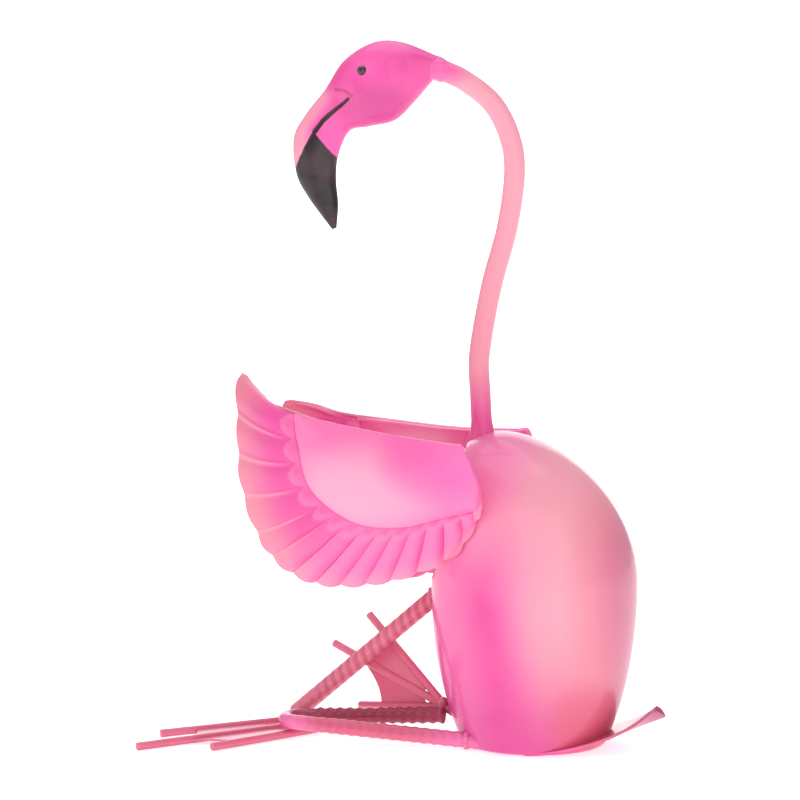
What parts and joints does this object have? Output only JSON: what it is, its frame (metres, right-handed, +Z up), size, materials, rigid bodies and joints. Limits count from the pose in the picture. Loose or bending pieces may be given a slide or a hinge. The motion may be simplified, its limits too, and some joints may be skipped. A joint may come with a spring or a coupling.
{
  "type": "flamingo wine bottle holder",
  "caption": "Pink painted metal flamingo, sitting, whose wings and hollow body cradle a wine bottle.",
  "frame": {"origin": "centre of the box around the bird, on the floor", "axes": "+Z up, the bird faces -X, its left side is -Y"},
  "size_m": [0.2716, 0.1572, 0.3791],
  "materials": {
    "pink_paint": "glossy paint with airbrushed shading",
    "magenta_paint": "glossy paint with airbrushed shading",
    "leg_paint": "glossy paint over ribbed bar",
    "black_paint": "glossy black bead"
  },
  "bodies": {
    "root": {"body_shell": "pink_paint", "neck_tube": "pink_paint", "head": "magenta_paint", "eye_left": "black_paint", "eye_right": "black_paint", "wing_left": "pink_paint", "wing_right": "pink_paint", "tail": "pink_paint", "leg_left": "leg_paint", "leg_right": "leg_paint", "front_toe_near": "leg_paint", "front_toe_middle": "leg_paint", "front_toe_far": "leg_paint", "front_web_near": "leg_paint", "front_web_far": "leg_paint", "back_toe_upper": "leg_paint", "back_toe_middle": "leg_paint", "back_toe_lower": "leg_paint", "back_web_upper": "leg_paint", "back_web_lower": "leg_paint", "hind_toe": "leg_paint"}
  },
  "joints": []
}
